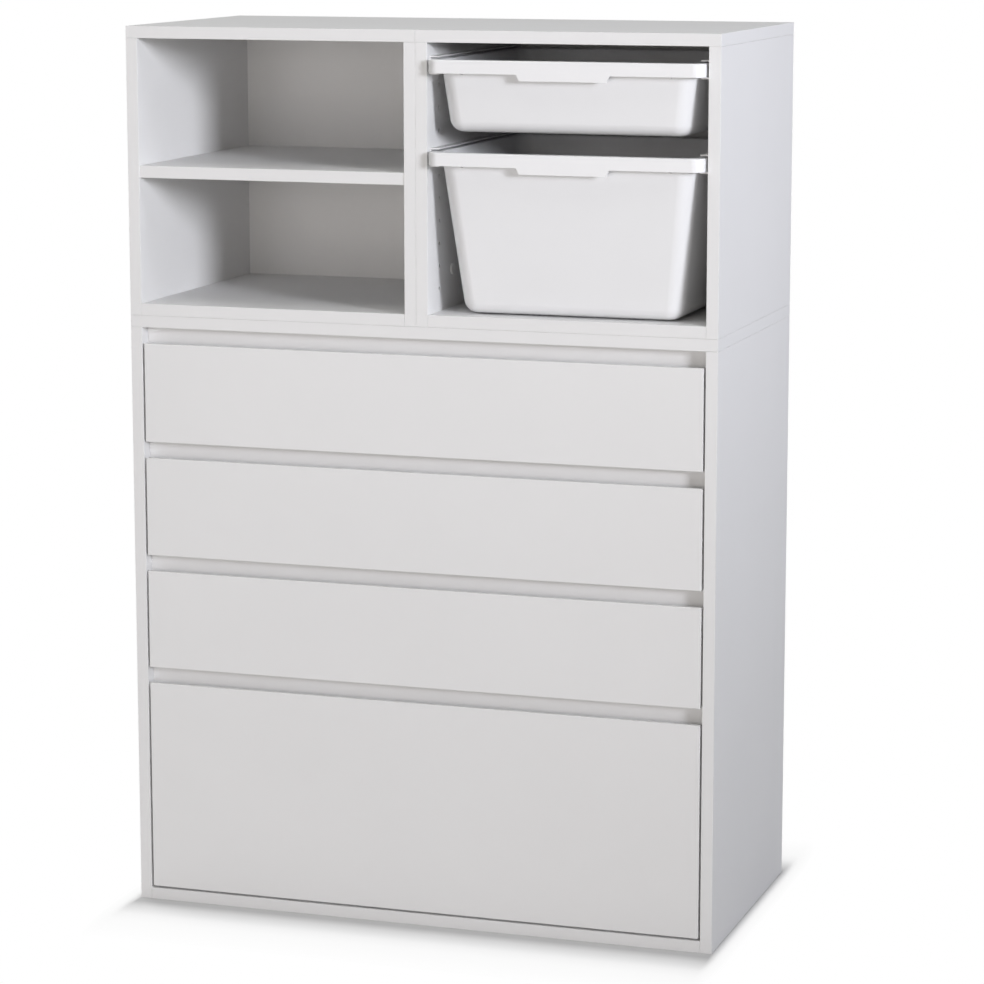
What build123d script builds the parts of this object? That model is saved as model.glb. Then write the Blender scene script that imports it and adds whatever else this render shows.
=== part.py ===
from build123d import *
import os

# Craft storage tower: a chest of four drawers for 12 in paper, with two open cubes on top of it.
# Millimetres. +Z is up, the fronts face -Y, and X = 0 is the middle of the tower.
# The origin is on the floor, under the middle of the whole outline, overhanging bins included.

# Boards
board = 15.0                  # every carcass board, drawer front, shelf and rail
back_board = 3.0              # hardboard backs
back_inset = 8.0              # from a carcass's rear edge to its hardboard back
back_groove = 5.0             # depth of the groove that holds a back
back_fit = 0.2                # slack between a back and the bottom of its groove
cube_width = 380.0            # one cube; two of them span the chest
carcass_depth = 368.0

# Drawer fronts and the gaps that serve as their pulls
shallow_drawers = 3
shallow_front = 125.0
deep_front = 268.5
finger_gap = 20.5             # open strip above every front
base_gap = 2.5                # under the lowest front
side_gap = 2.5                # between a front's ends and the chest sides
front_bevel = 9.0             # bevel on the rear of a front's top edge, where fingers pull
rail_setback = 18.0           # from the front plane to the face of a cross rail
rail_lap = 4.0                # how far a rail reaches behind the front above and below it

# Drawer boxes
box_board = 12.0
box_clearance = 3.0           # between a box and the rails over and under it
box_rear_gap = 12.0           # between a box and the chest's back
box_bottom = 4.0
box_bottom_rise = 10.0        # of the bottom's underside above the sides' lower edges
box_groove = 4.0
box_bottom_fit = 0.2

# Roller slides at the sides of the drawer boxes
slide_space = 12.5            # between a chest side and a drawer box
slide_sheet = 1.2
slide_start = 2.0             # behind the fronts' rear face
slide_rear_margin = 28.0      # the slides end this much before the box does
running_height = 22.0         # top of the running flange above the box side's lower edge
running_reach = 8.3           # how far that flange stands out over the cabinet's roller
track_lip = 9.0               # lower lip of the cabinet track
track_top_lip = 5.5
track_slack = 0.6             # between the running flange and the track's upper lip
roller_radius = 8.0
roller_width = 5.0
roller_drop = 1.5             # the drawer's rear roller sits this much lower than the cabinet's
roller_gap = 0.05             # between a roller and what runs on it
roller_inset = 12.0           # from a slide's end to its roller's centre
roller_side_gap = 0.5         # between a roller and the shoulder or head beside it
pin_radius = 2.5
pin_clearance = 0.05
pin_head_radius = 4.0
pin_head = 1.0
shoulder_radius = 4.0
cabinet_shoulder = 1.5        # spacer between the track's web and its roller
drawer_shoulder = 2.0         # spacer between the drawer's slide and its roller

# Cubes
cube_height = 360.0
shelf_clearance = 157.5       # open height below the left cube's shelf
shelf_setback = 1.0
hole_radius = 2.5             # rows of holes for runner pegs
hole_depth = 11.0
first_hole = 28.0             # above the cube's floor
hole_pitch = 27.75
hole_inset = 44.0             # front row, from the front plane
hole_row_spacing = 256.0      # from the front row to the rear row

# Bins that hang in the right cube
bin_overhang = 14.0           # how far the bins' rims stand out of the cube
bin_side_gap = 3.0            # between a rim and the cube's side
bin_rear_gap = 23.0           # between a rim and the cube's back
rows_between_bins = 4         # holes from the deep bin's runners up to the shallow bin's
shallow_bin_height = 85.0
deep_bin_floor_gap = 4.0
bin_wall = 2.4
bin_draft = 7.0               # degrees, on all four walls
bin_corner = 20.0
bin_foot_radius = 12.0
rim_flange = 12.5             # how far the rim stands out from the walls
rim_height = 16.0
rim_corner = 14.0
rim_edge_radius = 1.0
rim_above_peg = 4.5           # rim top above the runner pegs' centres
grip_width = 108.0            # deeper middle of the front rim, to pull by
grip_drop = 7.7
grip_slope = 4.0
rib_spread = 130.0            # ribs under the front rim, from the middle
rib_thickness = 2.0
rib_drop = 3.5                # how far the ribs reach below the rim

# Channels that carry the bins
channel_sheet = 1.8
channel_floor = 2.5
channel_reach = 12.0
channel_seat_gap = 0.3        # between a rim and the floor of its channel
channel_slack = 2.0           # between a rim and the top of its channel
channel_setback = 9.0         # from the front plane
channel_stop_gap = 2.0        # between a rim and the stop at its channel's rear
peg_radius = 2.45
peg_length = 9.0

# Hidden joints
dowel_radius = 4.0
dowel_length = 30.0
dowel_in_face = 10.0          # the part of a dowel that stands in a board's face
dowel_inset = 60.0            # end dowels of a row, from a carcass's front and rear
pin_fit = 0.05                # round a dowel, pin or screw in its hole
stack_pin_radius = 5.0
stack_pin_length = 18.0
stack_pin_inset = 50.0
joint_screw_radius = 3.0
joint_head_radius = 6.5
joint_head_height = 1.5
joint_screw_inset = 92.0      # from a cube's front and rear
joint_screw_rise = 47.0       # above a cube's floor and below its top board

# Places that several pieces share
drawer_count = shallow_drawers + 1
front_heights = [shallow_front] * shallow_drawers + [deep_front]
half_width = cube_width
inner_half = half_width - board
front_y = (bin_overhang - carcass_depth) / 2
back_y = front_y + carcass_depth
back_face = back_y - back_inset - back_board
front_rear = front_y + board
box_half = inner_half - slide_space
box_rear = back_face - box_rear_gap
slide_front = front_rear + slide_start
slide_rear = box_rear - slide_rear_margin
sides = (-1, 1)


def front_base(index):
    # Lower edge of a front, counted from the top drawer: what lies under it stacks up from the base.
    below = front_heights[index + 1:]
    return board + base_gap + sum(below) + finger_gap * len(below)


chest_height = front_base(0) + front_heights[0] + finger_gap + board
tower_height = chest_height + cube_height
cube_floor = chest_height + board
cube_ceiling = tower_height - board
shelf_base = cube_floor + shelf_clearance
hole_rows = int((cube_ceiling - cube_floor - first_hole) / hole_pitch) + 1
hole_lines = (front_y + hole_inset, front_y + hole_inset + hole_row_spacing)
shallow_bin_row = hole_rows - 1
deep_bin_row = shallow_bin_row - rows_between_bins
right_cube_middle = cube_width / 2


def block(x, y, z):
    # A square-edged piece between pairs of low and high coordinates.
    size = (abs(x[1] - x[0]), abs(y[1] - y[0]), abs(z[1] - z[0]))
    return Pos(sum(x) / 2, sum(y) / 2, sum(z) / 2) * Box(*size)


def rod(radius, start, end):
    # A round bar between two points.
    path = Vector(*end) - Vector(*start)
    middle = Vector(*start) + path * 0.5
    return Plane(origin=middle, z_dir=path) * Cylinder(radius, path.length)


def drilled(piece, rods):
    # A board with a snug hole for every rod given as (radius, start, end).
    for radius, start, end in rods:
        piece -= rod(radius + pin_fit, start, end)
    return piece


def write(node, *solids):
    export_step(Compound(list(solids)), f"parts/{node}.step")


def dowel_rows(count):
    # Depths of a row of dowels across a carcass.
    first = front_y + dowel_inset
    step = (carcass_depth - 2 * dowel_inset) / (count - 1)
    return [first + step * place for place in range(count)]


def side_dowels(left, right, y, z):
    # Two level dowels that join a board's ends, at x = left and x = right, to the sides beyond them.
    in_end = dowel_length - dowel_in_face
    return [
        (dowel_radius, (left - dowel_in_face, y, z), (left + in_end, y, z)),
        (dowel_radius, (right - in_end, y, z), (right + dowel_in_face, y, z)),
    ]


def top_dowel(x, y, z):
    # An upright dowel from a side's upper edge, at height z, into the top board on it.
    return (dowel_radius, (x, y, z + dowel_in_face - dowel_length), (x, y, z + dowel_in_face))


def carcass_back(left, right, low, high):
    # Hardboard between the grooves of a carcass whose clear inside is given.
    reach = back_groove - back_fit
    return block(
        (left - reach, right + reach),
        (back_face, back_face + back_board),
        (low - reach, high + reach),
    )


def back_slot(left, right, low, high):
    # What the grooves take out of the boards round that back.
    return block(
        (left - back_groove, right + back_groove),
        (back_face, back_face + back_board),
        (low - back_groove, high + back_groove),
    )


# Chest of drawers

chest_inside = (-inner_half, inner_half, board, chest_height - board)


def rail_span(index):
    # Heights of the cross rail in the gap above a front.
    low = front_base(index) + front_heights[index] - rail_lap
    high = low + rail_lap + finger_gap
    return (low, high if index == 0 else high + rail_lap)


def chest_dowels():
    rods = []
    for y in dowel_rows(3):
        rods += side_dowels(-inner_half, inner_half, y, board / 2)
        for side in sides:
            rods.append(top_dowel(side * (half_width - board / 2), y, chest_height - board))
    rail_middle = front_y + rail_setback + board / 2
    for index in range(drawer_count):
        rods += side_dowels(-inner_half, inner_half, rail_middle, sum(rail_span(index)) / 2)
    return rods


def stack_pins():
    # Short pins that keep the cubes from sliding on the chest.
    rods = []
    low = chest_height - stack_pin_length / 2
    high = chest_height + stack_pin_length / 2
    reach = cube_width / 2 - stack_pin_inset
    for centre in (-right_cube_middle, right_cube_middle):
        for x in (centre - reach, centre + reach):
            for y in (front_y + stack_pin_inset, back_y - stack_pin_inset):
                rods.append((stack_pin_radius, (x, y, low), (x, y, high)))
    return rods


def build_chest():
    depth = (front_y, back_y)
    slot = back_slot(*chest_inside)
    rods = chest_dowels()
    top = block((-half_width, half_width), depth, (chest_height - board, chest_height))
    write("chest_top", drilled(top - slot, rods + stack_pins()))
    write("chest_bottom", drilled(block((-inner_half, inner_half), depth, (0, board)) - slot, rods))
    for name, side in (("left", -1), ("right", 1)):
        panel = block((side * half_width, side * inner_half), depth, (0, chest_height - board))
        write(f"chest_{name}_side", drilled(panel - slot, rods))
    write("chest_back", carcass_back(*chest_inside))
    face = front_y + rail_setback
    for index in range(drawer_count):
        rail = block((-inner_half, inner_half), (face, face + board), rail_span(index))
        write(f"cross_rail_{index + 1}", drilled(rail, rods))


# Drawers

def box_span(index):
    # Heights of a drawer box, clear of the rails over and under it.
    low = front_base(index) + rail_lap + box_clearance
    high = front_base(index) + front_heights[index] - rail_lap - box_clearance
    return (low, high)


def box_bottom_board(index, groove):
    # The bottom, reaching a given way into the boards round it.
    low = box_span(index)[0] + box_bottom_rise
    inside = box_half - box_board + groove
    depth = (front_rear - groove, box_rear - box_board + groove)
    return block((-inside, inside), depth, (low, low + box_bottom))


def drawer_front(index):
    low = front_base(index)
    high = low + front_heights[index]
    width = inner_half - side_gap
    front = block((-width, width), (front_y, front_rear), (low, high))
    edge = front.edges().filter_by(Axis.X).group_by(Axis.Z)[-1].sort_by(Axis.Y)[-1]
    return chamfer(edge, front_bevel)


def build_drawer(index):
    name = f"drawer_{index + 1}"
    span = box_span(index)
    groove = box_bottom_board(index, box_groove)
    write(f"{name}_front", drawer_front(index) - groove)
    for word, side in (("left", -1), ("right", 1)):
        panel = block((side * box_half, side * (box_half - box_board)), (front_rear, box_rear), span)
        write(f"{name}_{word}_side", panel - groove)
    inside = box_half - box_board
    write(f"{name}_back", block((-inside, inside), (box_rear - box_board, box_rear), span) - groove)
    write(f"{name}_bottom", box_bottom_board(index, box_groove - box_bottom_fit))
    build_slides(index)


# Roller slides: the drawer's sheet carries a rear roller and runs on the cabinet track's front roller

def from_side(side, *distances):
    # X at given distances inwards from the chest's inner face, on its left (-1) or right (1).
    return [side * (inner_half - distance) for distance in distances]


def running_underside(index):
    return box_span(index)[0] + running_height - slide_sheet


def cabinet_roller_place(index):
    return (slide_front + roller_inset, running_underside(index) - roller_gap - roller_radius)


def drawer_roller_place(index):
    return (slide_rear - roller_inset, cabinet_roller_place(index)[1] - roller_drop)


def roller_pin(side, root, shoulder, place, inwards):
    # A rivet that stands on a sheet: shoulder, roller seat and head, going inwards (1) or outwards (-1).
    y, z = place
    stops = [root, root + inwards * shoulder]
    stops.append(stops[-1] + inwards * (roller_width + 2 * roller_side_gap))
    stops.append(stops[-1] + inwards * pin_head)
    xs = from_side(side, *stops)
    pin = rod(pin_radius, (xs[0], y, z), (xs[3], y, z))
    pin += rod(shoulder_radius, (xs[0], y, z), (xs[1], y, z))
    return pin + rod(pin_head_radius, (xs[2], y, z), (xs[3], y, z))


def roller(side, root, shoulder, place, inwards):
    y, z = place
    start = root + inwards * (shoulder + roller_side_gap)
    xs = from_side(side, start, start + inwards * roller_width)
    ring = rod(roller_radius, (xs[0], y, z), (xs[1], y, z))
    return ring - rod(pin_radius + pin_clearance, (xs[0], y, z), (xs[1], y, z))


def cabinet_track(index, side):
    y, z = cabinet_roller_place(index)
    lip_top = drawer_roller_place(index)[1] - roller_radius - roller_gap
    upper_lip = running_underside(index) + slide_sheet + track_slack
    depth = (slide_front, slide_rear)
    behind_roller = (y + roller_inset, slide_rear)
    web = block(from_side(side, 0, slide_sheet), depth, (lip_top - slide_sheet, upper_lip + slide_sheet))
    lower = block(from_side(side, 0, track_lip), behind_roller, (lip_top - slide_sheet, lip_top))
    upper = block(from_side(side, 0, track_top_lip), behind_roller, (upper_lip, upper_lip + slide_sheet))
    return web + lower + upper + roller_pin(side, slide_sheet, cabinet_shoulder, (y, z), 1)


def drawer_slide(index, side):
    low = box_span(index)[0]
    top = running_underside(index) + slide_sheet
    depth = (slide_front, slide_rear)
    root = slide_space - slide_sheet
    wall = block(from_side(side, root, slide_space), depth, (low - slide_sheet, top))
    foot = block(from_side(side, root, slide_space + box_board), depth, (low - slide_sheet, low))
    running = block(from_side(side, root - running_reach, root), depth, (top - slide_sheet, top))
    return wall + foot + running + roller_pin(side, root, drawer_shoulder, drawer_roller_place(index), -1)


def build_slides(index):
    name = f"drawer_{index + 1}"
    root = slide_space - slide_sheet
    front_place = cabinet_roller_place(index)
    rear_place = drawer_roller_place(index)
    front_rollers = [roller(side, slide_sheet, cabinet_shoulder, front_place, 1) for side in sides]
    rear_rollers = [roller(side, root, drawer_shoulder, rear_place, -1) for side in sides]
    write(f"{name}_slides", *[drawer_slide(index, side) for side in sides])
    write(f"{name}_front_rollers", *front_rollers)
    write(f"{name}_rear_rollers", *rear_rollers)


def build_tracks():
    for word, side in (("left", -1), ("right", 1)):
        write(f"{word}_slide_tracks", *[cabinet_track(index, side) for index in range(drawer_count)])


# Cubes

def cube_dowels(centre):
    rods = []
    left = centre - cube_width / 2 + board
    right = centre + cube_width / 2 - board
    for y in dowel_rows(2):
        rods += side_dowels(left, right, y, chest_height + board / 2)
        for x in (left - board / 2, right + board / 2):
            rods.append(top_dowel(x, y, cube_ceiling))
    return rods


def shelf_dowels():
    rods = []
    for y in dowel_rows(2):
        rods += side_dowels(-cube_width + board, -board, y, shelf_base + board / 2)
    return rods


def joint_screws():
    # Two-part screws through the sides where the cubes meet, with a flat head in each cube.
    rods = []
    for y in (front_y + joint_screw_inset, back_y - joint_screw_inset):
        for z in (cube_floor + joint_screw_rise, cube_ceiling - joint_screw_rise):
            rods.append((joint_screw_radius, (-board, y, z), (board, y, z)))
    return rods


def hole_height(row):
    return cube_floor + first_hole + hole_pitch * row


def runner_holes():
    # Blind holes in both inner faces of the right cube.
    rods = []
    for row in range(hole_rows):
        for y in hole_lines:
            for face, way in ((board, -1), (cube_width - board, 1)):
                z = hole_height(row)
                rods.append(rod(hole_radius, (face, y, z), (face + way * hole_depth, y, z)))
    return rods


def build_cube(name, centre, rods):
    depth = (front_y, back_y)
    left = centre - cube_width / 2
    right = centre + cube_width / 2
    inside = (left + board, right - board, cube_floor, cube_ceiling)
    slot = back_slot(*inside)
    rods = rods + joint_screws()
    write(f"{name}_top", drilled(block((left, right), depth, (cube_ceiling, tower_height)) - slot, rods))
    floor = block((left + board, right - board), depth, (chest_height, cube_floor)) - slot
    write(f"{name}_bottom", drilled(floor, rods + stack_pins()))
    write(f"{name}_back", carcass_back(*inside))
    holes = runner_holes() if name == "right_cube" else []
    for word, x in (("left", (left, left + board)), ("right", (right - board, right))):
        panel = drilled(block(x, depth, (chest_height, cube_ceiling)) - slot, rods)
        write(f"{name}_{word}_side", panel - holes if holes else panel)


def build_cubes():
    build_cube("left_cube", -right_cube_middle, cube_dowels(-right_cube_middle) + shelf_dowels())
    build_cube("right_cube", right_cube_middle, cube_dowels(right_cube_middle))
    depth = (front_y + shelf_setback, back_face)
    shelf = block((-cube_width + board, -board), depth, (shelf_base, shelf_base + board))
    write("left_cube_shelf", drilled(shelf, shelf_dowels()))


def build_fasteners():
    rods = chest_dowels() + shelf_dowels()
    rods += cube_dowels(-right_cube_middle) + cube_dowels(right_cube_middle)
    write("panel_dowels", *[rod(*one) for one in rods])
    write("stacking_pins", *[rod(*one) for one in stack_pins()])
    screws = []
    for radius, start, end in joint_screws():
        screw = rod(radius, start, end)
        for face in (start, end):
            outer = (face[0] + joint_head_height * (1 if face[0] > 0 else -1), face[1], face[2])
            screw += rod(joint_head_radius, face, outer)
        screws.append(screw)
    write("joining_screws", *screws)


# Bins and their channels

def rim_top(row):
    return hole_height(row) + rim_above_peg


rim_width = cube_width - 2 * board - 2 * bin_side_gap
rim_front = front_y - bin_overhang
rim_rear = back_face - bin_rear_gap
rim_depth = rim_rear - rim_front
mouth_width = rim_width - 2 * rim_flange
mouth_depth = rim_depth - 2 * rim_flange


def tapered_tub(inset, height, foot_radius):
    # A tub-shaped solid that hangs from z = 0 and narrows downwards, inset from the bin's outer walls.
    outline = RectangleRounded(mouth_width - 2 * inset, mouth_depth - 2 * inset, bin_corner - inset)
    tub = extrude(Plane(origin=(0, 0, 0), z_dir=(0, 0, -1)) * outline, amount=height, taper=bin_draft)
    return fillet(tub.edges().group_by(Axis.Z)[0], foot_radius)


def bin_rim():
    # A flange with a turned-down skirt.
    rim = extrude(RectangleRounded(rim_width, rim_depth, rim_corner), amount=-rim_height)
    rim = fillet(rim.edges().group_by(Axis.Z)[-1], rim_edge_radius)
    hollow = RectangleRounded(rim_width - 2 * bin_wall, rim_depth - 2 * bin_wall, rim_corner - bin_wall)
    return rim - Pos(0, 0, -bin_wall) * extrude(hollow, amount=-rim_height)


def bin_grip():
    # The skirt reaches lower in the middle of the front, with sloped ends.
    half = grip_width / 2
    low = -rim_height - grip_drop
    outer = half + grip_slope
    corners = [(-outer, -rim_height), (-half, low), (half, low), (outer, -rim_height)]
    outline = make_face(Polyline(*corners, close=True))
    plane = Plane(origin=(0, -rim_depth / 2, 0), x_dir=(1, 0, 0), z_dir=(0, -1, 0))
    return extrude(plane * outline, amount=-bin_wall)


def bin_rib(x):
    # A thin gusset from the front skirt to the wall behind it.
    skirt = -rim_depth / 2 + bin_wall / 2
    wall = -mouth_depth / 2 + rim_flange
    corners = [(skirt, 0), (wall, 0), (wall, -rim_height - rib_drop), (skirt + bin_wall / 2, -rim_height)]
    outline = make_face(Polyline(*corners, close=True))
    plane = Plane(origin=(x, 0, 0), x_dir=(0, 1, 0), z_dir=(1, 0, 0))
    return extrude(plane * outline, amount=rib_thickness / 2, both=True)


def bin_shell(height, row):
    shell = bin_rim() + tapered_tub(0, height, bin_foot_radius) + bin_grip()
    for x in (-rib_spread, rib_spread):
        shell += bin_rib(x)
    shell -= tapered_tub(bin_wall, height - bin_wall, bin_foot_radius - bin_wall)
    return Pos(right_cube_middle, (rim_front + rim_rear) / 2, rim_top(row)) * shell


def bin_channel(row, side):
    # A channel open towards the bin, with a stop at its rear and two pegs in the cube's holes.
    wall = cube_width / 2 - board
    seat = rim_top(row) - rim_height - channel_seat_gap
    cover = rim_top(row) + channel_slack
    stop = rim_rear + channel_stop_gap
    depth = (front_y + channel_setback, stop + channel_sheet)
    xs = [right_cube_middle + side * (wall - distance) for distance in (0, channel_sheet, channel_reach)]
    channel = block((xs[0], xs[1]), depth, (seat - channel_floor, cover + channel_sheet))
    channel += block((xs[0], xs[2]), depth, (seat - channel_floor, seat))
    channel += block((xs[0], xs[2]), depth, (cover, cover + channel_sheet))
    channel += block((xs[0], xs[2]), (stop, stop + channel_sheet), (seat, cover))
    for y in hole_lines:
        z = hole_height(row)
        channel += rod(peg_radius, (xs[1], y, z), (xs[0] + side * peg_length, y, z))
    return channel


def build_bins():
    shallow = bin_shell(shallow_bin_height, shallow_bin_row)
    deep_height = rim_top(deep_bin_row) - cube_floor - deep_bin_floor_gap
    write("shallow_bin", shallow)
    write("deep_bin", bin_shell(deep_height, deep_bin_row))
    rows = (shallow_bin_row, deep_bin_row)
    write("bin_channels", *[bin_channel(row, side) for row in rows for side in sides])


os.makedirs("parts", exist_ok=True)
build_chest()
for number in range(drawer_count):
    build_drawer(number)
build_tracks()
build_cubes()
build_fasteners()
build_bins()
print("tower", 2 * half_width, "wide", carcass_depth, "deep", tower_height, "high")
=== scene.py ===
import bpy
import math
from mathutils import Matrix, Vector


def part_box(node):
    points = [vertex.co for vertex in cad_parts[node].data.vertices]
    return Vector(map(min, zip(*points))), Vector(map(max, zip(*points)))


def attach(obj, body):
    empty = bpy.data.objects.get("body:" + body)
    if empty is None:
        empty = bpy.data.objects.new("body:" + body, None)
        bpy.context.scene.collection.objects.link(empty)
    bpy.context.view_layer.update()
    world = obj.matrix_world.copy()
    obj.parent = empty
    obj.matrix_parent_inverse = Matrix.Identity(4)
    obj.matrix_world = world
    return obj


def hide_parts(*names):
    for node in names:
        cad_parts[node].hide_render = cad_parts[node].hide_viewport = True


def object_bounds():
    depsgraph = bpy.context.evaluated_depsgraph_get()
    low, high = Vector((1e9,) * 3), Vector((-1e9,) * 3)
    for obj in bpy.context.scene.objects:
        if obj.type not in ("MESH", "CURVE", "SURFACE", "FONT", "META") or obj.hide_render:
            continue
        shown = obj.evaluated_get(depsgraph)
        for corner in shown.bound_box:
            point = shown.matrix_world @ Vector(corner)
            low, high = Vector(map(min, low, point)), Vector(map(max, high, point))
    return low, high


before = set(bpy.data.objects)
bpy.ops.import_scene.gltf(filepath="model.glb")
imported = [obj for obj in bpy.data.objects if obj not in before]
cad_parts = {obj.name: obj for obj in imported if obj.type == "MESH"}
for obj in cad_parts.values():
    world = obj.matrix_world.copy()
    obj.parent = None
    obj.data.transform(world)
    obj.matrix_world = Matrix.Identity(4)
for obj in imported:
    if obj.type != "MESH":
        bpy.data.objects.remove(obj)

cadBounds = [list(corner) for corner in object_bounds()]
mm = 0.001
# points this close together count as one place
near = 0.01 * mm
# cutters reach this far past the face they enter
overcut = 1 * mm


# Selecting and shaping

def pickNothing():
    if bpy.context.mode != "OBJECT":
        bpy.ops.object.mode_set(mode="OBJECT")
    bpy.ops.object.select_all(action="DESELECT")


def pick(piece):
    pickNothing()
    piece.select_set(True)
    bpy.context.view_layer.objects.active = piece


def settle(piece):
    # place, turn and size go into the mesh, so the object sits at the origin
    pick(piece)
    bpy.ops.object.transform_apply(location=True, rotation=True, scale=True)
    return piece


def newBox(name, low, high):
    pickNothing()
    middle = [(a + b) / 2 for a, b in zip(low, high)]
    size = [b - a for a, b in zip(low, high)]
    bpy.ops.mesh.primitive_cube_add(size=1, location=middle, scale=size)
    piece = bpy.context.object
    piece.name = piece.data.name = name
    return settle(piece)


def newRod(name, radius, start, end, sides=24):
    # a round bar along X between two points
    pickNothing()
    middle = (Vector(start) + Vector(end)) / 2
    bpy.ops.mesh.primitive_cylinder_add(
        radius=radius, depth=(Vector(end) - Vector(start)).length, location=middle,
        rotation=(0, math.pi / 2, 0), vertices=sides)
    piece = bpy.context.object
    piece.name = piece.data.name = name
    return settle(piece)


def openPiece(piece, kind="EDGE"):
    pick(piece)
    bpy.ops.object.mode_set(mode="EDIT")
    bpy.ops.mesh.select_mode(type=kind)
    bpy.ops.mesh.select_all(action="DESELECT")


def closePiece():
    bpy.ops.object.mode_set(mode="OBJECT")


def selectWhere(piece, kind, test):
    # opens the piece with only the vertices, edges or faces that pass the test selected
    openPiece(piece, kind)
    closePiece()
    mesh = piece.data
    if kind == "VERT":
        for vertex in mesh.vertices:
            vertex.select = test(vertex.co)
    elif kind == "EDGE":
        for edge in mesh.edges:
            edge.select = test(*[mesh.vertices[index].co for index in edge.vertices])
    else:
        for face in mesh.polygons:
            face.select = test(face.center, face.normal)
    bpy.ops.object.mode_set(mode="EDIT")


def selectLevel(piece, level):
    # the edges that lie flat at a height
    selectWhere(piece, "EDGE", lambda a, b: abs(a.z - level) < near and abs(b.z - level) < near)


def joinAll(pieces, name):
    pickNothing()
    for piece in pieces:
        piece.select_set(True)
    bpy.context.view_layer.objects.active = pieces[0]
    if len(pieces) > 1:
        bpy.ops.object.join()
    joined = bpy.context.object
    joined.name = joined.data.name = name
    return joined


def cutAway(piece, cutter):
    pick(piece)
    cut = piece.modifiers.new("cut", "BOOLEAN")
    cut.operation = "DIFFERENCE"
    cut.solver = "EXACT"
    cut.object = cutter
    bpy.ops.object.modifier_apply(modifier=cut.name)
    bpy.data.objects.remove(cutter)


def bevelSelected(width, segments, affect="EDGES"):
    bpy.ops.mesh.bevel(offset=width, offset_type="OFFSET", segments=segments, affect=affect)


def roundEdges(piece, width, segments=2, angle=30):
    pick(piece)
    soft = piece.modifiers.new("soft", "BEVEL")
    soft.width = width
    soft.segments = segments
    soft.limit_method = "ANGLE"
    soft.angle_limit = math.radians(angle)
    soft.use_clamp_overlap = True
    bpy.ops.object.modifier_apply(modifier=soft.name)


def markEdges(piece, square=0.999):
    # marks the narrow rounded faces, which face along no axis, for wear
    mesh = piece.data
    tone = mesh.attributes.new("edgeTone", "FLOAT", "FACE")
    for face in mesh.polygons:
        flat = max(abs(part) for part in face.normal) > square
        tone.data[face.index].value = 0.0 if flat else 1.0


def smooth(piece, angle=35):
    # large flat faces stay flat up to their rounded edges
    pick(piece)
    bpy.ops.object.shade_smooth_by_angle(angle=math.radians(angle))
    even = piece.modifiers.new("even", "WEIGHTED_NORMAL")
    even.keep_sharp = True
    bpy.ops.object.modifier_apply(modifier=even.name)


def dress(piece, body, slot, material, *nodes):
    piece.data.materials.clear()
    piece.data.materials.append(material)
    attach(piece, body)
    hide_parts(*nodes)


# Material nodes

noiseSpan = (0.3, 0.7)


def wire(tree, source, output, target, socket):
    tree.links.new(source.outputs[output], target.inputs[socket])


def makeGroup(name, inputs, outputs):
    group = bpy.data.node_groups.new(name, "ShaderNodeTree")
    for label, kind, value in inputs:
        socket = group.interface.new_socket(name=label, in_out="INPUT", socket_type=kind)
        socket.default_value = value
    for label, kind in outputs:
        group.interface.new_socket(name=label, in_out="OUTPUT", socket_type=kind)
    entry = group.nodes.new("NodeGroupInput")
    leave = group.nodes.new("NodeGroupOutput")
    place = group.nodes.new("ShaderNodeTexCoord")
    return group, entry, leave, place.outputs["Object"]


def placeGroup(tree, group, **values):
    node = tree.nodes.new("ShaderNodeGroup")
    node.node_tree = group
    for label, value in values.items():
        node.inputs[label].default_value = value
    return node


def addNoise(tree, coordinates, scale, detail, roughness):
    noise = tree.nodes.new("ShaderNodeTexNoise")
    noise.inputs["Scale"].default_value = scale
    noise.inputs["Detail"].default_value = detail
    noise.inputs["Roughness"].default_value = roughness
    tree.links.new(coordinates, noise.inputs["Vector"])
    return noise


def addRange(tree, value, source, target):
    span = tree.nodes.new("ShaderNodeMapRange")
    span.inputs["From Min"].default_value, span.inputs["From Max"].default_value = source
    span.inputs["To Min"].default_value, span.inputs["To Max"].default_value = target
    tree.links.new(value, span.inputs["Value"])
    return span.outputs["Result"]


def addRamp(tree, value, stops):
    # grey levels at stated places
    ramp = tree.nodes.new("ShaderNodeValToRGB")
    points = ramp.color_ramp.elements
    while len(points) < len(stops):
        points.new(0.5)
    for point, (place, level) in zip(points, stops):
        point.position = place
        point.color = (level, level, level, 1)
    tree.links.new(value, ramp.inputs["Fac"])
    return ramp.outputs["Color"]


def addMath(tree, operation, first, second):
    node = tree.nodes.new("ShaderNodeMath")
    node.operation = operation
    for socket, value in zip(node.inputs, (first, second)):
        if isinstance(value, (int, float)):
            socket.default_value = value
        else:
            tree.links.new(value, socket)
    return node.outputs[0]


def addMix(tree, factor, first, second):
    # a colour mix; each side is a socket or a plain colour
    node = tree.nodes.new("ShaderNodeMix")
    node.data_type = "RGBA"
    tree.links.new(factor, node.inputs["Factor"])
    for label, value in (("A", first), ("B", second)):
        socket = [one for one in node.inputs if one.name == label and one.type == "RGBA"][0]
        if isinstance(value, tuple):
            socket.default_value = value + (1.0,)
        else:
            tree.links.new(value, socket)
    return [one for one in node.outputs if one.type == "RGBA"][0]


def addBump(tree, height, strength, distance):
    bump = tree.nodes.new("ShaderNodeBump")
    bump.inputs["Strength"].default_value = strength
    bump.inputs["Distance"].default_value = distance
    tree.links.new(height, bump.inputs["Height"])
    return bump


def normalPart(tree, axis):
    facing = tree.nodes.new("ShaderNodeNewGeometry")
    parts = tree.nodes.new("ShaderNodeSeparateXYZ")
    wire(tree, facing, "Normal", parts, "Vector")
    return parts.outputs[axis]


def newMaterial(name):
    material = bpy.data.materials.new(name)
    material.use_nodes = True
    return material, material.node_tree, material.node_tree.nodes["Principled BSDF"]


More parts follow.
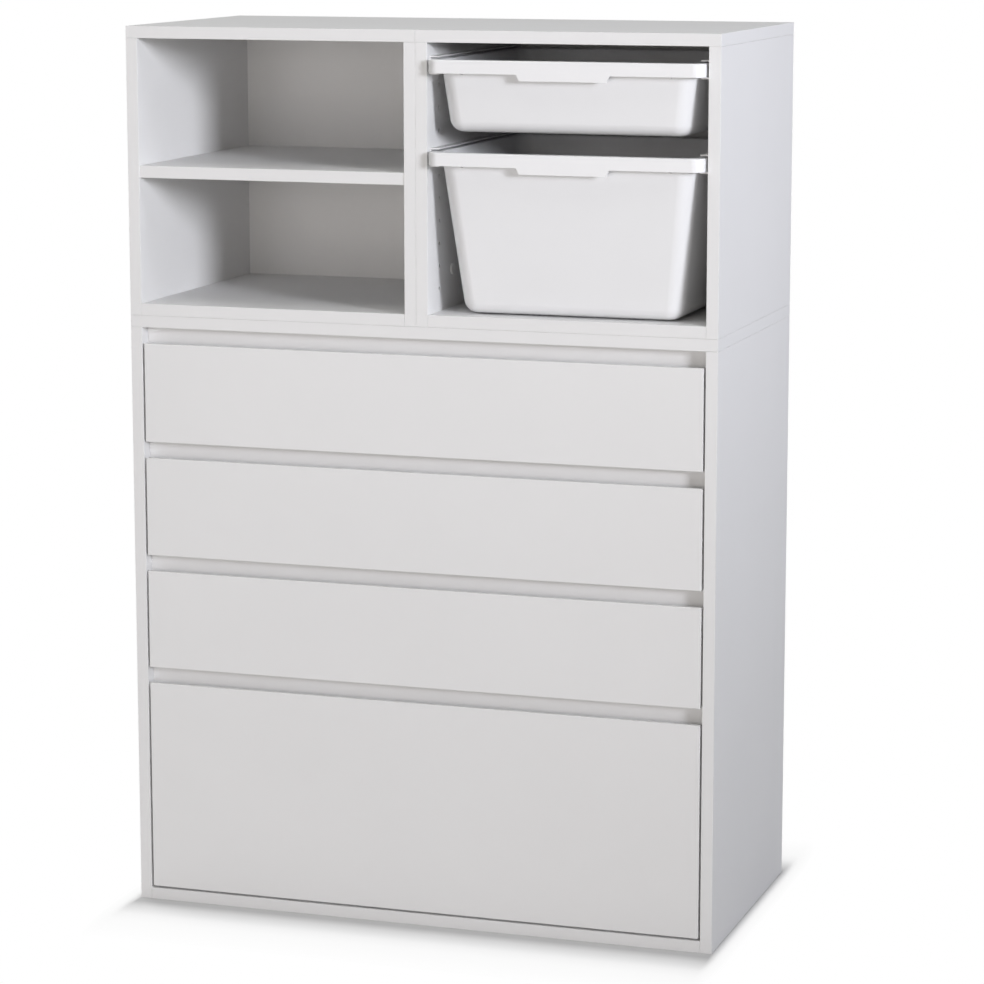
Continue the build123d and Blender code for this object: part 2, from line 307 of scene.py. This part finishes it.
def giveMask(group, entry, leave, patches, where):
    # the group's mask: patches, kept to one place, by the stated amount
    masked = addMath(group, "MULTIPLY", patches, where)
    masked = addMath(group, "MULTIPLY", masked, entry.outputs["Amount"])
    group.links.new(masked, leave.inputs["Mask"])


# Shared groups

def makeToneDrift():
    # slow, faint changes of shade over a surface
    group, entry, leave, place = makeGroup(
        "toneDrift",
        [("Colour", "NodeSocketColor", (0.8, 0.8, 0.8, 1)), ("Drift", "NodeSocketFloat", 0.02),
         ("Scale", "NodeSocketFloat", 4.0)],
        [("Colour", "NodeSocketColor")])
    noise = addNoise(group, place, scale=4.0, detail=4.0, roughness=0.55)
    wire(group, entry, "Scale", noise, "Scale")
    swing = addRange(group, noise.outputs["Fac"], noiseSpan, (-1.0, 1.0))
    factor = addMath(group, "ADD", addMath(group, "MULTIPLY", swing, entry.outputs["Drift"]), 1.0)
    scaled = group.nodes.new("ShaderNodeVectorMath")
    scaled.operation = "SCALE"
    wire(group, entry, "Colour", scaled, "Vector")
    group.links.new(factor, scaled.inputs["Scale"])
    wire(group, scaled, "Vector", leave, "Colour")
    return group


def makeFineSkin():
    # the pressed or moulded skin of a surface: a fine grain over a slow ripple
    look = {"grain": 900.0, "ripple": 30.0, "rippleShare": 2.0, "strength": 0.2, "depth": 0.2 * mm}
    group, entry, leave, place = makeGroup(
        "fineSkin",
        [("Grain", "NodeSocketFloat", look["grain"]),
         ("Ripple", "NodeSocketFloat", look["ripple"]),
         ("Strength", "NodeSocketFloat", look["strength"]),
         ("Depth", "NodeSocketFloat", look["depth"])],
        [("Normal", "NodeSocketVector"), ("Grain", "NodeSocketFloat")])
    grain = addNoise(group, place, look["grain"], detail=2.0, roughness=0.6)
    wire(group, entry, "Grain", grain, "Scale")
    ripple = addNoise(group, place, look["ripple"], detail=2.0, roughness=0.4)
    wire(group, entry, "Ripple", ripple, "Scale")
    slow = addMath(group, "MULTIPLY", ripple.outputs["Fac"], look["rippleShare"])
    height = addMath(group, "ADD", grain.outputs["Fac"], slow)
    bump = addBump(group, height, look["strength"], look["depth"])
    wire(group, entry, "Strength", bump, "Strength")
    wire(group, entry, "Depth", bump, "Distance")
    wire(group, bump, "Normal", leave, "Normal")
    wire(group, grain, "Fac", leave, "Grain")
    return group


def makeEdgeWear():
    # broken patches along rounded edges
    look = {"patches": (0.48, 0.62)}
    group, entry, leave, place = makeGroup(
        "edgeWear",
        [("Amount", "NodeSocketFloat", 0.5), ("Scale", "NodeSocketFloat", 60.0)],
        [("Mask", "NodeSocketFloat")])
    noise = addNoise(group, place, scale=60.0, detail=5.0, roughness=0.65)
    wire(group, entry, "Scale", noise, "Scale")
    patches = addRange(group, noise.outputs["Fac"], look["patches"], (0.0, 1.0))
    edge = group.nodes.new("ShaderNodeAttribute")
    edge.attribute_name = "edgeTone"
    giveMask(group, entry, leave, patches, edge.outputs["Fac"])
    return group


def makeDust():
    # what settles on surfaces that face up
    look = {"upward": (0.6, 0.98), "patches": (0.35, 0.7), "least": 0.15}
    group, entry, leave, place = makeGroup(
        "settledDust", [("Amount", "NodeSocketFloat", 0.3)], [("Mask", "NodeSocketFloat")])
    upward = addRange(group, normalPart(group, "Z"), look["upward"], (0.0, 1.0))
    noise = addNoise(group, place, scale=14.0, detail=6.0, roughness=0.7)
    patches = addRange(group, noise.outputs["Fac"], look["patches"], (look["least"], 1.0))
    giveMask(group, entry, leave, patches, upward)
    return group


toneDrift = makeToneDrift()
fineSkin = makeFineSkin()
edgeWear = makeEdgeWear()
settledDust = makeDust()


# Finishes

def makeFinish(name, look):
    # a material from the shared groups; look holds what a user would change
    material, tree, shader = newMaterial(name)
    drift = placeGroup(
        tree, toneDrift, Colour=look["colour"] + (1,), Drift=look["drift"],
        Scale=look["driftScale"])
    wear = placeGroup(tree, edgeWear, Amount=look["wear"], Scale=look["wearScale"])
    dust = placeGroup(tree, settledDust, Amount=look["dust"])
    skin = placeGroup(
        tree, fineSkin, Grain=look["grain"], Ripple=look["ripple"], Strength=look["skin"],
        Depth=look["skinDepth"])
    worn = addMix(tree, wear.outputs["Mask"], drift.outputs["Colour"], look["wearColour"])
    dusty = addMix(tree, dust.outputs["Mask"], worn, look["dustColour"])
    tree.links.new(dusty, shader.inputs["Base Color"])
    rough = addRange(tree, skin.outputs["Grain"], noiseSpan, look["roughness"])
    dulled = addMath(tree, "MULTIPLY", dust.outputs["Mask"], look["dustDull"])
    tree.links.new(addMath(tree, "ADD", rough, dulled), shader.inputs["Roughness"])
    wire(tree, skin, "Normal", shader, "Normal")
    shader.inputs["IOR"].default_value = look["ior"]
    return material


boardLook = {
    "colour": (0.80, 0.80, 0.80), "drift": 0.012, "driftScale": 3.0,
    "wear": 0.35, "wearScale": 55.0, "wearColour": (0.70, 0.69, 0.67),
    "dust": 0.10, "dustColour": (0.70, 0.69, 0.67), "dustDull": 0.25,
    "grain": 850.0, "ripple": 26.0, "skin": 0.10, "skinDepth": 0.12 * mm,
    "roughness": (0.58, 0.68), "ior": 1.47,
}
binLook = {
    "colour": (0.835, 0.84, 0.85), "drift": 0.012, "driftScale": 6.0,
    "wear": 0.0, "wearScale": 60.0, "wearColour": (0.7, 0.7, 0.7),
    "dust": 0.06, "dustColour": (0.70, 0.69, 0.67), "dustDull": 0.25,
    "grain": 1300.0, "ripple": 18.0, "skin": 0.12, "skinDepth": 0.1 * mm,
    "roughness": (0.34, 0.44), "ior": 1.49,
}
channelLook = dict(binLook, colour=(0.78, 0.78, 0.78), roughness=(0.38, 0.48))
steelLook = dict(
    boardLook, colour=(0.78, 0.78, 0.77), drift=0.02, grain=1600.0, skin=0.2,
    roughness=(0.32, 0.42))
nylonLook = dict(binLook, colour=(0.80, 0.79, 0.74), roughness=(0.30, 0.42))
hardboardLook = dict(
    boardLook, colour=(0.76, 0.76, 0.755), drift=0.03, grain=1400.0, skin=0.25,
    roughness=(0.5, 0.62))


def makeHardboard():
    # painted hardboard: smooth in front, the print of a wire screen behind
    screen = {
        "scale": 66.84492, "distortion": 0.6, "facing": (0.7, 0.9),
        "strength": 0.5, "depth": 0.3 * mm}
    material = makeFinish("whiteHardboard", hardboardLook)
    tree = material.node_tree
    shader = tree.nodes["Principled BSDF"]
    place = tree.nodes.new("ShaderNodeTexCoord")
    waves = []
    for direction in ("X", "Z"):
        wave = tree.nodes.new("ShaderNodeTexWave")
        wave.wave_type = "BANDS"
        wave.bands_direction = direction
        wave.inputs["Scale"].default_value = screen["scale"]
        wave.inputs["Distortion"].default_value = screen["distortion"]
        wire(tree, place, "Object", wave, "Vector")
        waves.append(wave.outputs["Fac"])
    rear = addRange(tree, normalPart(tree, "Y"), screen["facing"], (0.0, 1.0))
    height = addMath(tree, "MULTIPLY", addMath(tree, "MULTIPLY", *waves), rear)
    bump = addBump(tree, height, screen["strength"], screen["depth"])
    tree.links.new(shader.inputs["Normal"].links[0].from_socket, bump.inputs["Normal"])
    wire(tree, bump, "Normal", shader, "Normal")
    return material


def makeBeech():
    look = {
        "light": (0.66, 0.48, 0.29), "dark": (0.50, 0.33, 0.18), "tones": (0.35, 0.65),
        "rings": 160.0, "stretch": (0.15, 1.0, 1.0), "roughness": (0.5, 0.7),
        "strength": 0.3, "depth": 0.2 * mm}
    material, tree, shader = newMaterial("dowelBeech")
    place = tree.nodes.new("ShaderNodeTexCoord")
    stretch = tree.nodes.new("ShaderNodeMapping")
    stretch.inputs["Scale"].default_value = look["stretch"]
    wire(tree, place, "Object", stretch, "Vector")
    grain = addNoise(tree, stretch.outputs["Vector"], look["rings"], detail=5.0, roughness=0.6)
    tone = addRange(tree, grain.outputs["Fac"], look["tones"], (0.0, 1.0))
    tree.links.new(addMix(tree, tone, look["light"], look["dark"]), shader.inputs["Base Color"])
    rough = addRange(tree, grain.outputs["Fac"], noiseSpan, look["roughness"])
    tree.links.new(rough, shader.inputs["Roughness"])
    bump = addBump(tree, grain.outputs["Fac"], look["strength"], look["depth"])
    wire(tree, bump, "Normal", shader, "Normal")
    return material


whiteBoard = makeFinish("whiteBoard", boardLook)
binPlastic = makeFinish("binPlastic", binLook)
channelPlastic = makeFinish("channelPlastic", channelLook)
slideSteel = makeFinish("slideSteel", steelLook)
rollerNylon = makeFinish("rollerNylon", nylonLook)
whiteHardboard = makeHardboard()
dowelBeech = makeBeech()
print("finishes made")


# Boards

boardShape = {"edge": 0.5 * mm, "segments": 2, "grooveFit": 0.2 * mm}


def camel(node):
    words = node.split("_")
    return words[0] + "".join(word.capitalize() for word in words[1:])


def cutGroove(board, panel, x=0.0, y=0.0, z=0.0):
    # the groove is the thin panel's own box, a little larger along the stated axes
    low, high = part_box(panel)
    low = [side - extra for side, extra in zip(low, (x, y, z))]
    high = [side + extra for side, extra in zip(high, (x, y, z))]
    cutAway(board, newBox("groove", low, high))


def makeBoard(node, grooveOf=None, along="xz"):
    # a board with softened edges and, where a thin panel enters it, the groove for that panel
    board = newBox(camel(node), *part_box(node))
    roundEdges(board, boardShape["edge"], boardShape["segments"])
    markEdges(board)
    if grooveOf:
        cutGroove(board, grooveOf, **{axis: boardShape["grooveFit"] for axis in along})
    return board


def makeCarcass():
    made = []
    for word in ("top", "bottom", "left_side", "right_side"):
        made.append((makeBoard(f"chest_{word}", "chest_back"), "cabinet", f"chest_{word}"))
    for number in range(1, 5):
        made.append((makeBoard(f"cross_rail_{number}"), "cabinet", f"cross_rail_{number}"))
    for cube in ("left_cube", "right_cube"):
        for word in ("top", "bottom", "left_side", "right_side"):
            made.append((makeBoard(f"{cube}_{word}", f"{cube}_back"), "cabinet", f"{cube}_{word}"))
    made.append((makeBoard("left_cube_shelf"), "cabinet", "left_cube_shelf"))
    return made


frontShape = {"rearBevel": 9 * mm, "edge": 0.8 * mm, "segments": 3}


def makeDrawerFront(number):
    # its rear upper edge is cut away, so that fingers can pull it
    node = f"drawer_{number}_front"
    low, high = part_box(node)
    front = newBox(camel(node), low, high)
    selectWhere(front, "EDGE", lambda a, b: all(
        abs(point.z - high[2]) < near and abs(point.y - high[1]) < near for point in (a, b)))
    bevelSelected(frontShape["rearBevel"], segments=1)
    closePiece()
    roundEdges(front, frontShape["edge"], frontShape["segments"])
    markEdges(front)
    fit = boardShape["grooveFit"]
    cutGroove(front, f"drawer_{number}_bottom", x=fit, y=fit)
    return front


def makeDrawers():
    made = []
    for number in range(1, 5):
        drawer = f"drawer_{number}"
        made.append((makeDrawerFront(number), drawer, f"{drawer}_front"))
        for word in ("left_side", "right_side", "back"):
            board = makeBoard(f"{drawer}_{word}", f"{drawer}_bottom", "xy")
            made.append((board, drawer, f"{drawer}_{word}"))
    return made


holes = {
    "radius": 2.5 * mm, "depth": 11 * mm, "first": 28 * mm, "pitch": 27.75 * mm, "rows": 11,
    "frontInset": 44 * mm, "rowSpacing": 256 * mm,
}


def holeRows(front):
    # how far back the two rows are, from a side's front edge
    return [front + holes["frontInset"] + holes["rowSpacing"] * row for row in (0, 1)]


def drillHoles(board, node):
    # two upright rows of blind holes for pegs, in a side of the right cube
    low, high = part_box(node)
    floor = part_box("right_cube_bottom")[1][2]
    face, way = (high[0], -1) if "left" in node else (low[0], 1)
    rods = []
    for row in range(holes["rows"]):
        z = floor + holes["first"] + holes["pitch"] * row
        for y in holeRows(low[1]):
            start, end = (face - way * overcut, y, z), (face + way * holes["depth"], y, z)
            rods.append(newRod("hole", holes["radius"], start, end))
    cutAway(board, joinAll(rods, "holes"))


for board, body, node in makeCarcass() + makeDrawers():
    if node in ("right_cube_left_side", "right_cube_right_side"):
        drillHoles(board, node)
    smooth(board)
    dress(board, body, "white_board", whiteBoard, node)
print("boards made")


# Bins

binShape = {
    "draft": math.radians(7.0), "wall": 2.4 * mm, "corner": 20 * mm, "cornerSegments": 7,
    "foot": 12 * mm, "footSegments": 5, "mouthEdge": 2.2 * mm, "edgeSegments": 3,
    "flange": 12.5 * mm, "rimHeight": 16 * mm, "rimCorner": 14 * mm, "rimEdge": 1.6 * mm,
    "gripHalf": 54 * mm, "gripSlope": 4 * mm, "gripDrop": 7.7 * mm,
    "ribPlace": 130 * mm, "ribHalf": 1 * mm, "ribDrop": 3.5 * mm,
    "lip": 0.5 * mm, "lipAngle": 50, "shadeAngle": 40,
}


def measureBin(node):
    low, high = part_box(node)
    rim = [high[0] - low[0], high[1] - low[1]]
    mouth = [side - 2 * binShape["flange"] for side in rim]
    lean = (high[2] - low[2]) * math.tan(binShape["draft"])
    return {
        "x": (low[0] + high[0]) / 2, "y": (low[1] + high[1]) / 2, "front": low[1],
        "bottom": low[2], "top": high[2], "skirt": high[2] - binShape["rimHeight"],
        "rim": rim, "mouth": mouth, "base": [side - 2 * lean for side in mouth],
    }


def selectRimOutline(tub, size):
    # the edges round the outside of the rim, at its top
    corner = binShape["rimCorner"]
    nearArc = 10 * near

    def onOutline(point):
        if abs(point.z - size["top"]) > near:
            return False
        across = abs(point.x - size["x"]) - (size["rim"][0] / 2 - corner)
        along = abs(point.y - size["y"]) - (size["rim"][1] / 2 - corner)
        if across > 0 and along > 0:
            return abs(math.hypot(across, along) - corner) < nearArc
        return abs(across - corner) < near or abs(along - corner) < near

    selectWhere(tub, "EDGE", lambda a, b: onOutline(a) and onOutline(b))


def makeTub(node, size):
    # walls, rim and skirt as one thin surface, built from two rounded outlines
    shape = binShape
    base, mouth, rim = size["base"], size["mouth"], size["rim"]
    foot, head = (size["x"], size["y"], size["bottom"]), (size["x"], size["y"], size["top"])
    pickNothing()
    bpy.ops.mesh.primitive_plane_add(size=1, location=foot)
    tub = bpy.context.object
    tub.name = tub.data.name = camel(node)
    settle(tub)
    openPiece(tub)
    bpy.ops.mesh.select_all(action="SELECT")
    bpy.ops.transform.resize(value=(base[0], base[1], 1), center_override=foot)
    bevelSelected(shape["corner"] * base[0] / mouth[0], shape["cornerSegments"], "VERTICES")
    rise, spread = (0, 0, size["top"] - size["bottom"]), (mouth[0] / base[0], mouth[1] / base[1], 1)
    bpy.ops.mesh.extrude_region_move(TRANSFORM_OT_translate={"value": rise})
    bpy.ops.transform.resize(value=spread, center_override=head)
    bpy.ops.mesh.delete(type="ONLY_FACE")
    bpy.ops.mesh.select_all(action="DESELECT")
    bpy.ops.mesh.primitive_plane_add(size=1, location=head)
    bpy.ops.transform.resize(value=(rim[0], rim[1], 1), center_override=head)
    bevelSelected(shape["rimCorner"], shape["cornerSegments"], "VERTICES")
    bpy.ops.mesh.delete(type="ONLY_FACE")
    selectLevel(tub, size["top"])
    bpy.ops.mesh.bridge_edge_loops()
    selectRimOutline(tub, size)
    bpy.ops.mesh.extrude_region_move(TRANSFORM_OT_translate={"value": (0, 0, -shape["rimHeight"])})
    closePiece()
    return tub


def lowerGrip(tub, size):
    # the middle of the front skirt reaches lower
    shape = binShape
    half, slope, front = shape["gripHalf"], shape["gripSlope"], size["front"]
    straight = 0.99
    for x in (half, -half, half + slope, -half - slope):
        selectWhere(tub, "FACE", lambda middle, normal: (
            abs(normal.y) > straight and abs(middle.y - front) < near))
        bpy.ops.mesh.bisect(plane_co=(size["x"] + x, front, size["top"]), plane_no=(1, 0, 0))
        closePiece()
    selectWhere(tub, "VERT", lambda point: (
        abs(point.y - front) < near and abs(point.z - size["skirt"]) < near
        and abs(point.x - size["x"]) < half + near))
    bpy.ops.transform.translate(value=(0, 0, -shape["gripDrop"]))


def roundBin(tub, size):
    # foot, rim and mouth
    shape = binShape
    top, mouth = size["top"], size["mouth"]
    selectLevel(tub, size["bottom"])
    bevelSelected(shape["foot"], shape["footSegments"])
    selectRimOutline(tub, size)
    bevelSelected(shape["rimEdge"], shape["edgeSegments"])
    selectWhere(tub, "EDGE", lambda a, b: all(
        abs(point.z - top) < near and abs(point.x - size["x"]) < mouth[0] / 2 + near
        and abs(point.y - size["y"]) < mouth[1] / 2 + near for point in (a, b)))
    bevelSelected(shape["mouthEdge"], shape["edgeSegments"])


def thicken(tub):
    bpy.ops.mesh.select_all(action="SELECT")
    bpy.ops.mesh.normals_make_consistent(inside=False)
    closePiece()
    pick(tub)
    thick = tub.modifiers.new("thick", "SOLIDIFY")
    thick.thickness = binShape["wall"]
    thick.offset = -1
    thick.use_even_offset = True
    bpy.ops.object.modifier_apply(modifier=thick.name)
    roundEdges(tub, binShape["lip"], angle=binShape["lipAngle"])


def makeRibs(size):
    # two ribs behind the front skirt, sloped where they meet it
    shape = binShape
    half, wall = shape["ribHalf"], shape["wall"]
    front, skirt = size["front"], size["skirt"]
    ribs = []
    for x in (size["x"] - shape["ribPlace"], size["x"] + shape["ribPlace"]):
        low = (x - half, front + wall / 2, skirt - shape["ribDrop"])
        high = (x + half, front + shape["flange"] + wall, size["top"] - wall / 2)
        rib = newBox("rib", low, high)
        selectWhere(rib, "VERT", lambda point: point.z < skirt and point.y < front + 2 * wall)
        bpy.ops.transform.translate(value=(0, 0, shape["ribDrop"] + shape["lip"]))
        closePiece()
        roundEdges(rib, shape["lip"], segments=1)
        ribs.append(rib)
    return ribs


def makeBin(node):
    size = measureBin(node)
    tub = makeTub(node, size)
    lowerGrip(tub, size)
    roundBin(tub, size)
    thicken(tub)
    tub = joinAll([tub] + makeRibs(size), camel(node))
    smooth(tub, binShape["shadeAngle"])
    dress(tub, node, "bin_plastic", binPlastic, node)


for node in ("shallow_bin", "deep_bin"):
    makeBin(node)
print("bins made")


# Channels that carry the bins' rims

channelShape = {
    "sheet": 1.8 * mm, "floor": 2.5 * mm, "reach": 12 * mm, "seatGap": 0.3 * mm, "slack": 2 * mm,
    "setback": 9 * mm, "stopGap": 2 * mm, "pegRadius": 2.45 * mm, "pegLength": 9 * mm,
    "pegDrop": 4.5 * mm, "edge": 0.35 * mm,
}


def makeChannel(binNode, side):
    # open towards the bin, with a stop at its rear and two pegs in the holes of the cube's side
    shape = channelShape
    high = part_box(binNode)[1]
    left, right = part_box("right_cube_left_side"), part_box("right_cube_right_side")
    wall = left[1][0] if side < 0 else right[0][0]
    seat = high[2] - binShape["rimHeight"] - shape["seatGap"]
    cover = high[2] + shape["slack"]
    stop = high[1] + shape["stopGap"]
    frontEnd = left[0][1] + shape["setback"]
    sheet, reach = shape["sheet"], shape["reach"]
    web, tip, past = (wall - side * part for part in (sheet, reach, 2 * reach))
    low = (min(wall, tip), frontEnd, seat - shape["floor"])
    channel = newBox("binChannel", low, (max(wall, tip), stop + sheet, cover + sheet))
    low = (min(web, past), frontEnd - overcut, seat)
    cutAway(channel, newBox("trough", low, (max(web, past), stop, cover)))
    roundEdges(channel, shape["edge"])
    pieces = [channel]
    ends = ((wall + web) / 2, wall + side * shape["pegLength"])
    height = high[2] - shape["pegDrop"]
    for y in holeRows(left[0][1]):
        peg = newRod("peg", shape["pegRadius"], (min(ends), y, height), (max(ends), y, height))
        roundEdges(peg, shape["edge"])
        pieces.append(peg)
    return joinAll(pieces, "binChannel")


def makeChannels():
    made = [makeChannel(node, side) for node in ("shallow_bin", "deep_bin") for side in (-1, 1)]
    channels = joinAll(made, "binChannels")
    smooth(channels)
    dress(channels, "cabinet", "channel_plastic", channelPlastic, "bin_channels")


makeChannels()
print("channels made")


# Hidden and plain parts keep their own shapes

def finishPlainParts():
    finishes = {
        "chest_back": whiteHardboard, "left_cube_back": whiteHardboard,
        "right_cube_back": whiteHardboard, "panel_dowels": dowelBeech, "stacking_pins": dowelBeech,
        "joining_screws": slideSteel, "left_slide_tracks": slideSteel,
        "right_slide_tracks": slideSteel,
    }
    for number in range(1, 5):
        finishes[f"drawer_{number}_bottom"] = whiteHardboard
        finishes[f"drawer_{number}_slides"] = slideSteel
        finishes[f"drawer_{number}_front_rollers"] = rollerNylon
        finishes[f"drawer_{number}_rear_rollers"] = rollerNylon
    for node, finish in finishes.items():
        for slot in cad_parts[node].material_slots:
            slot.material = finish


finishPlainParts()


# Stage, lights and camera

def addFootprintDistance(tree, sideways):
    # distance from the cabinet's footprint, with the sideways part multiplied
    low, high = cadBounds
    middle = [(a + b) / 2 for a, b in zip(low, high)]
    half = [(b - a) / 2 for a, b in zip(low, high)]
    steps = [
        ("SUBTRACT", middle), ("ABSOLUTE", None), ("SUBTRACT", half), ("MAXIMUM", (0, 0, 0)),
        ("MULTIPLY", (sideways, 1, 0)), ("LENGTH", None)]
    offset = tree.nodes.new("ShaderNodeTexCoord").outputs["Object"]
    for operation, values in steps:
        step = tree.nodes.new("ShaderNodeVectorMath")
        step.operation = operation
        tree.links.new(offset, step.inputs[0])
        if values:
            step.inputs[1].default_value = values
        offset = step.outputs["Value" if operation == "LENGTH" else "Vector"]
    return offset


def makeFloor():
    # a white sweep: the camera sees plain white, except close to where the cabinet stands on it;
    # there a painted contact shadow darkens the floor's colour towards black, and the camera's
    # white glow fades with distance from the footprint so that the lit floor shows
    look = {
        "size": 160.0, "colour": (0.82, 0.82, 0.82), "black": (0.0, 0.0, 0.0), "roughness": 0.9,
        "reach": 0.2, "sideways": 6.0,
        "paintedContactShadow": ((0.0, 0.70), (0.1, 0.92), (0.25, 1.0)),
        "white": ((0.0, 0.06), (0.1, 0.26), (0.2, 0.53), (0.28, 0.77), (0.4, 0.9), (0.8, 1.0))}
    pickNothing()
    bpy.ops.mesh.primitive_plane_add(size=look["size"], location=(0, 0, 0))
    floor = bpy.context.object
    floor.name = "floor"
    paper, tree, shader = newMaterial("floorPaper")
    shader.inputs["Roughness"].default_value = look["roughness"]
    shader.inputs["Specular IOR Level"].default_value = 0.0
    away = addMath(tree, "DIVIDE", addFootprintDistance(tree, look["sideways"]), look["reach"])
    # painted contact shadow: the floor's colour runs from black at the footprint to its own colour
    # further away
    paintedContactShadow = addRamp(tree, away, look["paintedContactShadow"])
    shade = addMix(tree, paintedContactShadow, look["black"], look["colour"])
    tree.links.new(shade, shader.inputs["Base Color"])
    white = tree.nodes.new("ShaderNodeEmission")
    ray = tree.nodes.new("ShaderNodeLightPath")
    both = tree.nodes.new("ShaderNodeMixShader")
    # the camera's white glow fades towards the footprint, so the painted shadow and the lit floor
    # show there
    share = addRamp(tree, away, look["white"])
    share = addMath(tree, "MULTIPLY", share, ray.outputs["Is Camera Ray"])
    tree.links.new(share, both.inputs["Fac"])
    tree.links.new(shader.outputs[0], both.inputs[1])
    tree.links.new(white.outputs[0], both.inputs[2])
    tree.links.new(both.outputs[0], tree.nodes["Material Output"].inputs["Surface"])
    floor.data.materials.append(paper)


def makeWorld():
    look = {"colour": (1, 1, 1, 1), "ambient": 0.15, "seen": 1.0}
    world = bpy.data.worlds.new("studio")
    bpy.context.scene.world = world
    world.use_nodes = True
    tree = world.node_tree
    back = tree.nodes["Background"]
    back.inputs["Color"].default_value = look["colour"]
    ray = tree.nodes.new("ShaderNodeLightPath")
    span = (look["ambient"], look["seen"])
    strength = addRange(tree, ray.outputs["Is Camera Ray"], (0.0, 1.0), span)
    tree.links.new(strength, back.inputs["Strength"])


lights = {
    # azimuth runs from the front towards the right; aim is the point that the light faces
    "key": {
        "azimuth": 57.0, "elevation": 8.0, "distance": 7.0, "aim": (0, 0, 1.25),
        "size": (1.4, 1.4), "spread": 30.0, "power": 11.6, "colour": (0.92, 0.93, 0.99)},
    "side": {
        "azimuth": 85.0, "elevation": 28.0, "distance": 3.0, "aim": (0.3, 0, 1.25),
        "size": (1.2, 1.2), "spread": 60.0, "power": 2.4, "colour": (0.84, 0.85, 1.0)},
    "fill": {
        "azimuth": -3.0, "elevation": 5.0, "distance": 4.2, "aim": (0.1, 0, 0.5),
        "size": (2.6, 1.6), "spread": 180.0, "power": 42.5, "colour": (1.0, 0.94, 0.90)},
    "rear": {
        "azimuth": 238.0, "elevation": 10.0, "distance": 4.0, "aim": (0, 0, 0.6),
        "size": (2.4, 2.4), "spread": 180.0, "power": 95.0, "colour": (1.0, 1.0, 1.0)},
    "overhead": {
        "azimuth": 0.0, "elevation": 78.0, "distance": 3.6, "aim": (0, 0, 0.4),
        "size": (3.0, 2.4), "spread": 180.0, "power": 41.5, "colour": (1.0, 0.995, 0.955)},
}


def hang(name, data, look):
    # an object that looks at a point from an azimuth, elevation and distance
    azimuth, elevation = math.radians(look["azimuth"]), math.radians(look["elevation"])
    level = math.cos(elevation)
    way = Vector((math.sin(azimuth) * level, -math.cos(azimuth) * level, math.sin(elevation)))
    holder = bpy.data.objects.new(name, data)
    bpy.context.collection.objects.link(holder)
    holder.location = Vector(look["aim"]) + way * look["distance"]
    holder.rotation_euler = (-way).to_track_quat("-Z", "Y").to_euler()
    return holder


def makeLights():
    for name, look in lights.items():
        lamp = bpy.data.lights.new(name, "AREA")
        lamp.shape = "RECTANGLE"
        lamp.size, lamp.size_y = look["size"]
        lamp.energy = look["power"]
        lamp.spread = math.radians(look["spread"])
        lamp.color = look["colour"]
        hang(name, lamp, look)


def makeCamera():
    look = {
        "azimuth": 18.15, "elevation": 9.652, "distance": 4.2916, "aim": (0.0476, 0.007, 0.563),
        "lens": 122.97, "sensor": 36.0, "shift": (-0.0083, -0.03), "farthest": 300.0}
    data = bpy.data.cameras.new("camera")
    data.sensor_width = look["sensor"]
    data.lens = look["lens"]
    data.shift_x, data.shift_y = look["shift"]
    data.clip_end = look["farthest"]
    bpy.context.scene.camera = hang("camera", data, look)


makeFloor()
makeWorld()
makeLights()
makeCamera()
bpy.context.scene.view_settings.view_transform = "Standard"
print("stage, lights and camera made")
